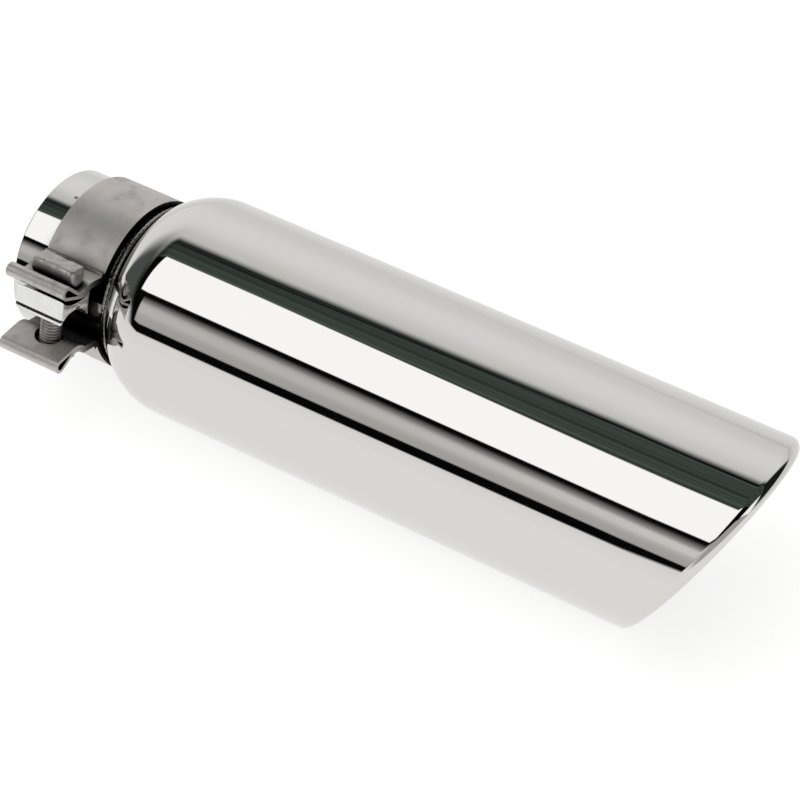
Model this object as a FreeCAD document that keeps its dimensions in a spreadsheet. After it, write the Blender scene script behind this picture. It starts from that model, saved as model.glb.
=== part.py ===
import FreeCAD, Part
import math
import os

import Sketcher

# A clamp-on exhaust tip: a spun and polished shell with a rounded shoulder and a rolled,
# angle-cut outlet, an inlet neck welded into the shoulder, and a single-bolt band clamp
# that hangs loose on the neck, not tightened yet.
#
# Frame: millimetres. The origin is the centre of the neck's open mouth. +X runs along the
# tip towards the outlet, +Z points to the long side of the angled outlet, and the clamp's
# ears stand out on the -Y side, turned up from level.

vector = FreeCAD.Vector
doc = FreeCAD.newDocument("ExhaustTip")

# Driving dimensions, in millimetres and degrees
sheet = doc.addObject("Spreadsheet::Sheet", "Sizes")
driving_sizes = [
    ("BodyDiameter", 101.6, "outside of the shell"),
    ("SheetThickness", 1.5, "wall of the shell"),
    ("DomeRadius", 34.0, "arc of the spun shoulder, seen in section"),
    ("BodyLength", 291.6, "from the neck's root to where the cut crosses the axis"),
    ("CutAngle", 33.0, "tilt of the outlet's plane"),
    ("LipRadius", 4.2, "round of the rolled outlet edge"),
    ("LipLand", 0.3, "flat left on the crest of the rolled edge"),
    ("LipReturn", 12.0, "how far the rolled edge turns back into the mouth"),
    ("NeckDiameter", 75.4, "outside of the inlet neck"),
    ("NeckWall", 1.6, "wall of the inlet neck"),
    ("NeckInsertion", 9.0, "neck beyond the shoulder's hole, inside the shell"),
    ("NeckRimRound", 0.6, "rounding of the neck's open edge"),
    ("NeckFit", 0.15, "radial gap between the neck and the shoulder's hole"),
    ("SlotWidth", 3.0, "relief slots that let the clamp close the neck"),
    ("SlotLength", 40.0, "slot, from the open mouth to its round end"),
    ("SlotCount", 2, "relief slots, on the side away from the ears"),
    ("SlotSpacing", 90.0, "angle between the relief slots"),
    ("DimpleDiameter", 1.8, "stop dimple pressed beside the band"),
    ("DimpleDepth", 0.5, "depth of the stop dimple"),
    ("DimpleGap", 3.0, "stop dimple's centre to the band's edge"),
    ("DimpleTurn", 89.9, "stop dimple, turned up from level on the ears' side"),
    ("WeldLeg", 2.2, "weld along the neck, in front of the shoulder"),
    ("WeldHeight", 1.9, "weld above the neck"),
    ("WeldRound", 4.5, "radius of the weld's face"),
    ("WeldGap", 0.05, "weld's clearance to the sheet it joins"),
    ("BandStation", 15.8, "neck's mouth to the band's near edge"),
    ("BandWidth", 32.2, "width of the band"),
    ("BandMargin", 3.8, "band's far edge to the neck's root"),
    ("BandClearance", 0.9, "slack between the band and the neck"),
    ("StripThickness", 1.5, "strip that the band and its ears are bent from"),
    ("FoldGap", 0.1, "air between the strip's folded layers"),
    ("BoltStandoff", 10.7, "bolt's axis outside the band"),
    ("BoltStation", 33.0, "neck's mouth to the bolt's axis"),
    ("EarLevel", 11.6, "trough's underside above the ears' mid plane"),
    ("TroughRadius", 8.4, "outside of the trough that the bolt's head lies in"),
    ("ShelfRise", 2.6, "ear's shelf beside the band, above the trough"),
    ("ShelfBend", 3.0, "bend from the shelf into the trough"),
    ("RootBend", 3.0, "bend from the band into the ear"),
    ("CurlRadius", 3.25, "outside of the folded outer edge"),
    ("CurlRise", 2.4, "curl's underside above the trough's"),
    ("LipReach", 13.9, "folded outer edge beyond the bolt's axis"),
    ("LowerEarDroop", 3.5, "lower ear sprung away from the bolt"),
    ("FlapLength", 1.4, "strip's free end, lying on the band beyond the ear's root"),
    ("ClampTurn", 21.5, "ears' mid plane turned up from level"),
    ("UpperHole", 11.0, "bolt's hole in the upper ear"),
    ("LowerHole", 14.0, "clearance hole in the lower ear"),
    ("BlockInset", 5.8, "spacer's inner face, from the bolt's axis"),
    ("BlockOverhang", 13.5, "spacer's outer face, from the bolt's axis"),
    ("ScoopRadius", 14.7, "hollow on the spacer that the trough seats in"),
    ("ScoopOffset", 3.7, "hollow's centre outside the bolt's axis"),
    ("SeatGap", 0.15, "spacer and bolt head to the ear they bear on"),
    ("ArchRadius", 11.5, "arch under the spacer"),
    ("ArchOffset", 4.2, "arch's centre outside the bolt's axis"),
    ("ArchCrown", 7.0, "top of the arch above the ears' mid plane"),
    ("GrooveRise", 1.8, "groove above the spacer's lower outer edge"),
    ("GrooveSize", 0.8, "width of the groove on the outer face"),
    ("GrooveMargin", 1.6, "groove's ends short of the spacer's"),
    ("BlockBore", 10.6, "bolt's hole through the spacer"),
    ("ShankDiameter", 9.8, "bolt's shank over its thread"),
    ("ShankChamfer", 1.0, "bolt's end"),
    ("HeadLength", 27.5, "bolt's bar head, along the trough"),
    ("HeadHeight", 8.6, "bar head, from its round underside to its flat top"),
    ("HeadRound", 2.4, "rounding of the bar head's top"),
    ("NutLength", 18.0, "tapped bar, along the trough"),
    ("NutHeight", 6.8, "tapped bar, from its round back to its flat foot"),
    ("NutFootWidth", 13.6, "tapped bar's foot, across the trough"),
    ("BoltTip", 0.6, "bolt's end beyond the tapped bar"),
    ("ThreadGap", 0.1, "bolt's shank in the tapped bar"),
]
for row, (alias, value, meaning) in enumerate(driving_sizes, start=1):
    sheet.set(f"A{row}", alias)
    sheet.set(f"B{row}", str(value))
    sheet.setAlias(f"B{row}", alias)
    sheet.set(f"C{row}", meaning)
doc.recompute()
size = {alias: float(sheet.get(alias)) for alias, value, meaning in driving_sizes}

# Distances that several pieces share, written once as expressions on the sheet
neck_radius = "Sizes.NeckDiameter / 2"
hole_radius = "(Sizes.NeckDiameter / 2 + Sizes.NeckFit)"
neck_root = "(Sizes.BandStation + Sizes.BandWidth + Sizes.BandMargin)"
dome_centre_height = "(Sizes.BodyDiameter / 2 - Sizes.DomeRadius)"
dome_end = (
    f"({neck_root} + sqrt(Sizes.DomeRadius ^ 2 - ({hole_radius} - {dome_centre_height}) ^ 2))"
)
outlet_station = f"({neck_root} + Sizes.BodyLength)"
bolt_offset = (
    "(Sizes.NeckDiameter / 2 + Sizes.BandClearance + Sizes.StripThickness + Sizes.BoltStandoff)"
)

# The same distances as numbers, for the outlines that are drawn point by point
root_station = size["BandStation"] + size["BandWidth"] + size["BandMargin"]
hole_radius_mm = size["NeckDiameter"] / 2 + size["NeckFit"]
dome_height_mm = size["BodyDiameter"] / 2 - size["DomeRadius"]
dome_station = root_station + math.sqrt(
    size["DomeRadius"] ** 2 - (hole_radius_mm - dome_height_mm) ** 2
)
outlet_station_mm = root_station + size["BodyLength"]
band_inner = size["NeckDiameter"] / 2 + size["BandClearance"]
bolt_reach = band_inner + size["StripThickness"] + size["BoltStandoff"]


def add(kind, name):
    return doc.addObject(kind, name)


def bind(thing, **expressions):
    """Binds a piece's sizes to cells of the sheet."""
    for name, expression in expressions.items():
        thing.setExpression(name, str(expression))
    return thing


def place(thing, x="0", y="0", z="0", axis=vector(0, 0, 1), angle="0"):
    """Sets a position and a turn about one axis, each bound to the sheet."""
    thing.Placement = FreeCAD.Placement(vector(), FreeCAD.Rotation(axis, 1))
    thing.setExpression("Placement.Base.x", str(x))
    thing.setExpression("Placement.Base.y", str(y))
    thing.setExpression("Placement.Base.z", str(z))
    thing.setExpression("Placement.Rotation.Angle", str(angle))
    return thing


def box(name, length, width, height, **where):
    piece = bind(add("Part::Box", name), Length=length, Width=width, Height=height)
    return place(piece, **where)


def cylinder(name, radius, height, **where):
    piece = bind(add("Part::Cylinder", name), Radius=radius, Height=height)
    return place(piece, **where)


def cut(name, base, tool):
    piece = add("Part::Cut", name)
    piece.Base = base
    piece.Tool = tool
    return piece


def common(name, base, tool):
    piece = add("Part::Common", name)
    piece.Base = base
    piece.Tool = tool
    return piece


def fuse(name, pieces):
    piece = add("Part::MultiFuse", name)
    piece.Shapes = pieces
    return piece


def fillet(name, base, radius, chosen):
    """Rounds the edges of the base for which chosen(edge) is true."""
    doc.recompute()
    piece = add("Part::Fillet", name)
    piece.Base = base
    edges = enumerate(base.Shape.Edges, start=1)
    piece.Edges = [(number, radius, radius) for number, edge in edges if chosen(edge)]
    return piece


def origin_plane(body, role):
    return next(feature for feature in body.Origin.OriginFeatures if feature.Role == role)


def sketch_on(body, name, role):
    """A sketch on one of the body's own origin planes."""
    sketch = body.newObject("Sketcher::SketchObject", name)
    sketch.AttachmentSupport = [(origin_plane(body, role), "")]
    sketch.MapMode = "FlatFace"
    return sketch


def dimension(sketch, expression, *constraint):
    """Adds a dimension to a sketch and binds it to the sheet."""
    index = sketch.addConstraint(Sketcher.Constraint(*constraint))
    sketch.setExpression(f"Constraints[{index}]", str(expression))


def circle_sketch(sketch, radius, start_radius):
    """Draws a circle round the sketch's origin, its radius bound to the sheet."""
    number = sketch.addGeometry(Part.Circle(vector(), vector(0, 0, 1), start_radius), False)
    sketch.addConstraint(Sketcher.Constraint("Coincident", number, 3, -1, 1))
    dimension(sketch, radius, "Radius", number, start_radius)
    return number


def on_ring(edge, radius, station, slack=0.01):
    """True for a circle of this radius round the tip's axis at this station."""
    curve = edge.Curve
    if curve.TypeId != "Part::GeomCircle":
        return False
    return abs(curve.Radius - radius) < slack and abs(curve.Center.x - station) < slack


# Shell of the tip
# The outer form and the hollow in it are the same form, drawn one wall apart: a profile spun
# round the axis, cut off at the outlet's angle, with a full round rolled over the cut edge.
def outlet_space(name, setback):
    """Everything beyond a plane parallel to the outlet's cut and this far behind it."""
    reach = "(4 * Sizes.BodyDiameter)"
    return box(
        name,
        reach,
        reach,
        reach,
        x=f"{outlet_station} - {setback} / cos(Sizes.CutAngle) - {reach} / 2 * sin(Sizes.CutAngle)",
        y=f"-{reach} / 2",
        z=f"-{reach} / 2 * cos(Sizes.CutAngle)",
        axis=vector(0, 1, 0),
        angle="Sizes.CutAngle",
    )


def on_outlet_plane(edge, setback):
    """True for an edge that lies in a plane this far behind the outlet's cut."""
    tilt = math.radians(size["CutAngle"])
    normal = vector(math.cos(tilt), 0, -math.sin(tilt))
    samples = edge.discretize(9)
    depths = [(point - vector(outlet_station_mm, 0, 0)).dot(normal) for point in samples]
    return all(abs(depth + setback) < 1e-3 for depth in depths)


def shoulder_outline(name, inset, inset_mm):
    """Half section of the shell's form, spun round the X axis."""
    sketch = add("Sketcher::SketchObject", name)
    sketch.Placement = FreeCAD.Placement(vector(), FreeCAD.Rotation(vector(1, 0, 0), 90))
    start_height = hole_radius_mm - size["LipRadius"]
    radius = size["DomeRadius"] - inset_mm
    height = size["BodyDiameter"] / 2 - inset_mm
    start = dome_station - math.sqrt(radius**2 - (start_height - dome_height_mm) ** 2)
    end = outlet_station_mm + size["BodyDiameter"]
    centre = vector(dome_station, dome_height_mm, 0)
    start_angle = math.atan2(start_height - dome_height_mm, start - dome_station)
    corners = [vector(start, 0, 0), vector(start, start_height, 0)]
    corners += [vector(dome_station, height, 0), vector(end, height, 0), vector(end, 0, 0)]
    dome = Part.ArcOfCircle(Part.Circle(centre, vector(0, 0, 1), radius), math.pi / 2, start_angle)
    sketch.addGeometry(
        [
            Part.LineSegment(corners[0], corners[1]),
            dome,
            Part.LineSegment(corners[2], corners[3]),
            Part.LineSegment(corners[3], corners[4]),
            Part.LineSegment(corners[4], corners[0]),
        ],
        False,
    )
    front, arc, top, back, axis = range(5)
    for joint in [
        ("Coincident", front, 2, arc, 2),
        ("Tangent", arc, 1, top, 1),
        ("Coincident", top, 2, back, 1),
        ("Coincident", back, 2, axis, 1),
        ("Coincident", axis, 2, front, 1),
        ("PointOnObject", axis, 1, -1),
        ("PointOnObject", axis, 2, -1),
        ("Vertical", front),
        ("Vertical", back),
        ("Horizontal", top),
    ]:
        sketch.addConstraint(Sketcher.Constraint(*joint))
    dimension(sketch, f"Sizes.DomeRadius - {inset}", "Radius", arc, radius)
    dimension(sketch, dome_end, "DistanceX", -1, 1, arc, 3, dome_station)
    dimension(sketch, dome_centre_height, "DistanceY", -1, 1, arc, 3, dome_height_mm)
    dimension(sketch, f"{hole_radius} - Sizes.LipRadius", "DistanceY", -1, 1, arc, 2, start_height)
    dimension(sketch, f"{outlet_station} + Sizes.BodyDiameter", "DistanceX", -1, 1, top, 2, end)
    return sketch


def rolled_form(name, inset, inset_mm, mouth_radius, mouth_depth):
    """The spun form with its angled cut, and a ring of the rolled edge's round on the cut."""
    spun = add("Part::Revolution", f"{name}Spun")
    spun.Source = shoulder_outline(f"{name}Outline", inset, inset_mm)
    spun.Axis = vector(1, 0, 0)
    spun.Angle = 360
    spun.Solid = True
    beyond = outlet_space(f"{name}Offcut", inset)
    bevelled = cut(f"{name}Bevelled", spun, beyond)
    round_mm = size["LipRadius"] - inset_mm
    outer = fillet(
        f"{name}OuterRound", bevelled, round_mm, lambda edge: on_outlet_plane(edge, inset_mm)
    )
    post = cylinder(
        f"{name}Post",
        mouth_radius,
        f"{outlet_station} + Sizes.BodyDiameter",
        axis=vector(0, 1, 0),
        angle="90",
    )
    mouth = common(f"{name}Mouth", post, outlet_space(f"{name}MouthSpace", mouth_depth))
    opened = cut(f"{name}Opened", outer, mouth)
    doc.recompute()
    rims = [edge for edge in opened.Shape.Edges if on_outlet_plane(edge, inset_mm)]
    shortest = min(rim.Length for rim in rims)
    return fillet(
        f"{name}Rolled",
        opened,
        round_mm,
        lambda edge: on_outlet_plane(edge, inset_mm) and edge.Length < shortest + 0.01,
    )


def make_tip_body():
    mouth = "(Sizes.BodyDiameter / 2 - 2 * Sizes.LipRadius - Sizes.LipLand)"
    outer = rolled_form("Shell", "0", 0, mouth, "(Sizes.LipReturn + Sizes.SheetThickness)")
    hollow = rolled_form(
        "Hollow",
        "Sizes.SheetThickness",
        size["SheetThickness"],
        f"({mouth} + Sizes.SheetThickness)",
        "Sizes.LipReturn",
    )
    shell = cut("ShellWall", outer, hollow)
    hole = cylinder("NeckHole", hole_radius, dome_end, axis=vector(0, 1, 0), angle="90")
    body = cut("TipBody", shell, hole)
    body.Label = "tip_body"
    return body


# Inlet neck: a polished sleeve, slotted on the side away from the ears so the clamp can
# squeeze it on the tail pipe, with a small stop dimple beside the band.
def make_inlet_neck():
    body = add("PartDesign::Body", "NeckSleeve")
    ring = sketch_on(body, "NeckRing", "YZ_Plane")
    outer = size["NeckDiameter"] / 2
    circle_sketch(ring, neck_radius, outer)
    circle_sketch(ring, f"{neck_radius} - Sizes.NeckWall", outer - size["NeckWall"])
    sleeve = body.newObject("PartDesign::Pad", "Sleeve")
    sleeve.Profile = ring
    bind(sleeve, Length=f"{neck_root} + Sizes.NeckInsertion")
    doc.recompute()

    rim = body.newObject("PartDesign::Fillet", "NeckRim")
    rim_edges = enumerate(sleeve.Shape.Edges, start=1)
    rim.Base = (sleeve, [f"Edge{number}" for number, edge in rim_edges if on_ring(edge, outer, 0)])
    bind(rim, Radius="Sizes.NeckRimRound")
    doc.recompute()

    slot = sketch_on(body, "SlotOutline", "XZ_Plane")
    half = size["SlotWidth"] / 2
    straight = size["SlotLength"] - half
    before = -size["SlotWidth"]
    slot.addGeometry(
        [
            Part.LineSegment(vector(before, -half, 0), vector(straight, -half, 0)),
            Part.ArcOfCircle(
                Part.Circle(vector(straight, 0, 0), vector(0, 0, 1), half), -math.pi / 2, math.pi / 2
            ),
            Part.LineSegment(vector(straight, half, 0), vector(before, half, 0)),
            Part.LineSegment(vector(before, half, 0), vector(before, -half, 0)),
        ],
        False,
    )
    for joint in [
        ("Coincident", 0, 2, 1, 1),
        ("Coincident", 1, 2, 2, 1),
        ("Coincident", 2, 2, 3, 1),
        ("Coincident", 3, 2, 0, 1),
        ("Horizontal", 0),
        ("Horizontal", 2),
        ("Vertical", 3),
        ("PointOnObject", 1, 3, -1),
    ]:
        slot.addConstraint(Sketcher.Constraint(*joint))
    slot.addConstraint(Sketcher.Constraint("Vertical", 1, 1, 1, 2))
    dimension(slot, "Sizes.SlotWidth / 2", "Radius", 1, half)
    dimension(
        slot, "Sizes.SlotLength - Sizes.SlotWidth / 2", "DistanceX", -1, 1, 1, 3, straight
    )
    dimension(slot, "Sizes.SlotWidth", "DistanceX", 3, 1, -1, 1, -before)
    first_slot = body.newObject("PartDesign::Pocket", "ReliefSlot")
    first_slot.Profile = slot
    bind(first_slot, Length=neck_radius)
    body.Tip = first_slot
    doc.recompute()
    if first_slot.Shape.Volume > rim.Shape.Volume - 1:
        raise RuntimeError("the relief slot cut nothing")
    ring_of_slots = body.newObject("PartDesign::PolarPattern", "ReliefSlots")
    ring_of_slots.Originals = [first_slot]
    ring_of_slots.Axis = (origin_plane(body, "X_Axis"), [""])
    bind(ring_of_slots, Angle="Sizes.SlotSpacing * (Sizes.SlotCount - 1)")
    bind(ring_of_slots, Occurrences="Sizes.SlotCount")
    body.Tip = ring_of_slots
    half_way = "Sizes.SlotSpacing * (Sizes.SlotCount - 1) / 2"
    place(body, axis=vector(-1, 0, 0), angle=f"{half_way} + Sizes.ClampTurn")

    ball = add("Part::Sphere", "DimpleBall")
    ball_radius = (
        "(((Sizes.DimpleDiameter / 2) ^ 2 + Sizes.DimpleDepth ^ 2) / (2 * Sizes.DimpleDepth))"
    )
    out = f"({neck_radius} - Sizes.DimpleDepth + {ball_radius})"
    bind(ball, Radius=ball_radius)
    place(
        ball,
        x="Sizes.BandStation - Sizes.DimpleGap",
        y=f"-{out} * cos(Sizes.DimpleTurn)",
        z=f"{out} * sin(Sizes.DimpleTurn)",
    )
    neck = cut("NeckWithDimple", body, ball)
    neck.Label = "inlet_neck"
    return neck


# Weld: a bead in the corner between the neck and the shoulder
def make_neck_weld():
    body = add("PartDesign::Body", "NeckWeld")
    body.Label = "neck_weld"
    sketch = sketch_on(body, "BeadSection", "XZ_Plane")
    foot = size["NeckDiameter"] / 2 + size["WeldGap"]
    top = foot + size["WeldHeight"]
    toe = root_station - size["WeldLeg"]
    seat_radius = size["DomeRadius"] + size["WeldGap"]

    def seat_at(height):
        """Station of the shoulder's surface at this height, one gap clear of it."""
        return dome_station - math.sqrt(seat_radius**2 - (height - dome_height_mm) ** 2)

    toe_point = vector(toe, foot, 0)
    crest = vector(seat_at(top), top, 0)
    heel = vector(seat_at(foot), foot, 0)
    chord = toe_point - crest
    depth = math.sqrt(size["WeldRound"] ** 2 - (chord.Length / 2) ** 2)
    face_centre = (toe_point + crest) * 0.5 + vector(-chord.y, chord.x, 0).normalize() * depth
    seat_centre = vector(dome_station, dome_height_mm, 0)

    def arc(centre, radius, first, last):
        angles = [math.atan2(point.y - centre.y, point.x - centre.x) for point in (first, last)]
        return Part.ArcOfCircle(Part.Circle(centre, vector(0, 0, 1), radius), *angles)

    sketch.addGeometry(
        [
            Part.LineSegment(heel, toe_point),
            arc(face_centre, size["WeldRound"], crest, toe_point),
            arc(seat_centre, seat_radius, crest, heel),
        ],
        False,
    )
    foot_line, face, seat = range(3)
    sketch.addConstraint(Sketcher.Constraint("Coincident", foot_line, 2, face, 2))
    sketch.addConstraint(Sketcher.Constraint("Coincident", face, 1, seat, 1))
    sketch.addConstraint(Sketcher.Constraint("Coincident", seat, 2, foot_line, 1))
    sketch.addConstraint(Sketcher.Constraint("Horizontal", foot_line))
    crest_height = f"{neck_radius} + Sizes.WeldGap + Sizes.WeldHeight"
    dimension(sketch, f"{neck_radius} + Sizes.WeldGap", "DistanceY", -1, 1, foot_line, 2, foot)
    dimension(sketch, f"{neck_root} - Sizes.WeldLeg", "DistanceX", -1, 1, foot_line, 2, toe)
    dimension(sketch, dome_end, "DistanceX", -1, 1, seat, 3, dome_station)
    dimension(sketch, dome_centre_height, "DistanceY", -1, 1, seat, 3, dome_height_mm)
    dimension(sketch, "Sizes.DomeRadius + Sizes.WeldGap", "Radius", seat, seat_radius)
    dimension(sketch, crest_height, "DistanceY", -1, 1, face, 1, top)
    dimension(sketch, "Sizes.WeldRound", "Radius", face, size["WeldRound"])
    bead = body.newObject("PartDesign::Revolution", "Bead")
    bead.Profile = sketch
    bead.ReferenceAxis = (sketch, ["H_Axis"])
    bead.Angle = 360
    return body


# Band clamp: one strip, led round a row of forming pins.
# A pin is (centre across the axis, radius of the strip's middle, turn), where a turn of +1
# leads the strip round to the left and -1 to the right. Across the axis, x is the distance
# from the tip's axis along the ears' mid plane, and y the height above that plane.
def lead(pin, after):
    """Heading of the straight strip from one pin to the next, in radians."""
    (centre, radius, turn), (next_centre, next_radius, next_turn) = pin, after
    step = next_centre - centre
    shift = next_turn * next_radius - turn * radius
    run = math.sqrt(max(0.0, step.Length**2 - shift**2))
    return math.atan2(step.y, step.x) - math.atan2(shift, run)


def strip_edges(pins, headings, side):
    """Lines and arcs of the strip's left (+) or right (-) face, in the strip's order."""
    edges = []
    last = None
    for (centre, radius, turn), heading_in, heading_out in zip(pins, headings, headings[1:]):
        face_radius = radius - turn * side
        sweep = (heading_out - heading_in) * turn % (2 * math.pi)
        first_angle = heading_in - turn * math.pi / 2

        def spot(share):
            angle = first_angle + turn * sweep * share
            return centre + vector(math.cos(angle), math.sin(angle), 0) * face_radius

        start = spot(0)
        if last is not None and last.distanceToPoint(start) > 1e-3:
            edges.append(Part.LineSegment(last, start).toShape())
        elif last is not None:
            start = last
        edges.append(Part.Arc(start, spot(0.5), spot(1)).toShape())
        last = spot(1)
    return edges


def ear_pins(sign, droop):
    """Pins of one ear's inner layer, from the band outwards, ending with the curl's."""
    half = size["StripThickness"] / 2
    band_middle = band_inner + half
    trough_radius = size["TroughRadius"] - half
    trough = vector(bolt_reach, size["EarLevel"] + size["TroughRadius"], 0)
    shelf = size["EarLevel"] + size["ShelfRise"] + half
    root_height = shelf + size["RootBend"]
    root = vector(math.sqrt((band_middle + size["RootBend"]) ** 2 - root_height**2), root_height, 0)
    bend_height = shelf - size["ShelfBend"]
    bend_back = math.sqrt((trough_radius + size["ShelfBend"]) ** 2 - (trough.y - bend_height) ** 2)
    shelf_bend = vector(trough.x - bend_back, bend_height, 0)
    curl = vector(
        bolt_reach + size["LipReach"] - size["CurlRadius"],
        size["EarLevel"] + size["CurlRise"] + size["CurlRadius"],
        0,
    )
    turned = FreeCAD.Rotation(vector(0, 0, 1), -droop)

    def settle(point):
        point = root + turned.multVec(point - root)
        return vector(point.x, sign * point.y, 0)

    return [
        (settle(root), size["RootBend"], 1),
        (settle(shelf_bend), size["ShelfBend"], -1),
        (settle(trough), trough_radius, 1),
        (settle(curl), size["CurlRadius"] - half, 1),
    ]


def clamp_strip():
    """Closed outline of the whole strip, from one free end to the other."""
    half = size["StripThickness"] / 2
    layer = size["StripThickness"] + size["FoldGap"]
    middle = vector(0, 0, 0)
    band = band_inner + half

    def folded(ear):
        """The ear's outer layer, lying on the inner one, from the curl back to the band."""
        return [(centre, radius - turn * layer, turn) for centre, radius, turn in ear[:-1]]

    upper = ear_pins(1, 0)
    lower = ear_pins(-1, -size["LowerEarDroop"])
    root = upper[0][0]
    flap = math.atan2(root.y, root.x) + size["FlapLength"] / (band + layer)
    curl_upper = (upper[-1][0], upper[-1][1], -1)
    curl_lower = (lower[-1][0], lower[-1][1], -1)
    path = [(middle, band + layer, -1)]
    path += folded(upper)
    path += [curl_upper]
    path += [(centre, radius, -turn) for centre, radius, turn in reversed(upper[:-1])]
    path += [(middle, band, 1)]
    path += [(centre, radius, -turn) for centre, radius, turn in lower[:-1]]
    path += [curl_lower]
    path += list(reversed(folded(lower)))
    path += [(middle, band + layer, -1)]
    headings = [flap - math.pi / 2]
    headings += [lead(pin, after) for pin, after in zip(path, path[1:])]
    headings += [-flap - math.pi / 2]
    left = strip_edges(path, headings, half)
    right = strip_edges(path, headings, -half)
    first_end = Part.LineSegment(left[0].Vertexes[0].Point, right[0].Vertexes[0].Point)
    last_end = Part.LineSegment(left[-1].Vertexes[-1].Point, right[-1].Vertexes[-1].Point)
    outline = Part.sortEdges(left + right + [first_end.toShape(), last_end.toShape()])
    return Part.Wire(outline[0])


def make_clamp_band():
    profile = add("Part::Feature", "StripProfile")
    profile.Shape = Part.Face(clamp_strip())
    # Outwards across the axis becomes -Y, and upwards +Z
    upright = FreeCAD.Rotation(vector(0, -1, 0), vector(0, 0, 1), vector(-1, 0, 0), "XYZ")
    profile.Placement = FreeCAD.Placement(vector(), upright)
    strip = add("Part::Extrusion", "Strip")
    strip.Base = profile
    strip.Dir = vector(1, 0, 0)
    strip.Solid = False
    bind(strip, LengthFwd="Sizes.BandWidth")
    place(strip, x="Sizes.BandStation")
    upper = cylinder(
        "UpperEarHole",
        "Sizes.UpperHole / 2",
        "Sizes.NeckDiameter",
        x="Sizes.BoltStation",
        y=f"-{bolt_offset}",
    )
    lower = cylinder(
        "LowerEarHole",
        "Sizes.LowerHole / 2",
        "Sizes.NeckDiameter",
        x="Sizes.BoltStation",
        y=f"-{bolt_offset}",
        z="-Sizes.NeckDiameter",
    )
    drilled = cut("DrilledStrip", strip, fuse("EarHoles", [upper, lower]))
    drilled.Label = "clamp_band"
    return drilled


# Spacer block: carried on the bolt between the ears
def make_spacer_block():
    inner_face = f"({bolt_offset} - Sizes.BlockInset)"
    outer_face = f"({bolt_offset} + Sizes.BlockOverhang)"
    # The hollow's arc clears the trough's round underside by the seat gap
    scoop_centre = (
        "(Sizes.EarLevel + Sizes.TroughRadius + sqrt((Sizes.ScoopRadius - Sizes.TroughRadius"
        " - Sizes.SeatGap) ^ 2 - Sizes.ScoopOffset ^ 2))"
    )
    arch_centre = "(Sizes.ArchCrown - Sizes.ArchRadius)"
    blank = box(
        "SpacerBlank",
        "Sizes.BandWidth",
        f"{outer_face} - {inner_face}",
        "Sizes.EarLevel + Sizes.TroughRadius",
        x="Sizes.BandStation",
        y=f"-{outer_face}",
    )
    across = dict(axis=vector(0, 1, 0), angle="90")
    scoop = cylinder(
        "SpacerScoop",
        "Sizes.ScoopRadius",
        "2 * Sizes.BandWidth",
        x="Sizes.BandStation - Sizes.BandWidth / 2",
        y=f"-({bolt_offset} + Sizes.ScoopOffset)",
        z=scoop_centre,
        **across,
    )
    arch = cylinder(
        "SpacerArch",
        "Sizes.ArchRadius",
        "2 * Sizes.BandWidth",
        x="Sizes.BandStation - Sizes.BandWidth / 2",
        y=f"-({bolt_offset} + Sizes.ArchOffset)",
        z=arch_centre,
        **across,
    )
    bore = cylinder(
        "SpacerBore",
        "Sizes.BlockBore / 2",
        "Sizes.NeckDiameter",
        x="Sizes.BoltStation",
        y=f"-{bolt_offset}",
    )
    lower_edge = (
        f"({arch_centre} + sqrt(Sizes.ArchRadius ^ 2 - (Sizes.BlockOverhang - Sizes.ArchOffset) ^ 2))"
    )
    groove = box(
        "SpacerGroove",
        "Sizes.BandWidth - 2 * Sizes.GrooveMargin",
        "Sizes.GrooveSize",
        "Sizes.GrooveSize",
        x="Sizes.BandStation + Sizes.GrooveMargin",
        y=f"-{outer_face}",
        z=f"{lower_edge} + Sizes.GrooveRise - Sizes.GrooveSize * sqrt(0.5)",
        axis=vector(1, 0, 0),
        angle="45",
    )
    block = cut("SpacerBlock", blank, fuse("SpacerCuts", [scoop, arch, bore, groove]))
    block.Label = "spacer_block"
    return block


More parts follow.
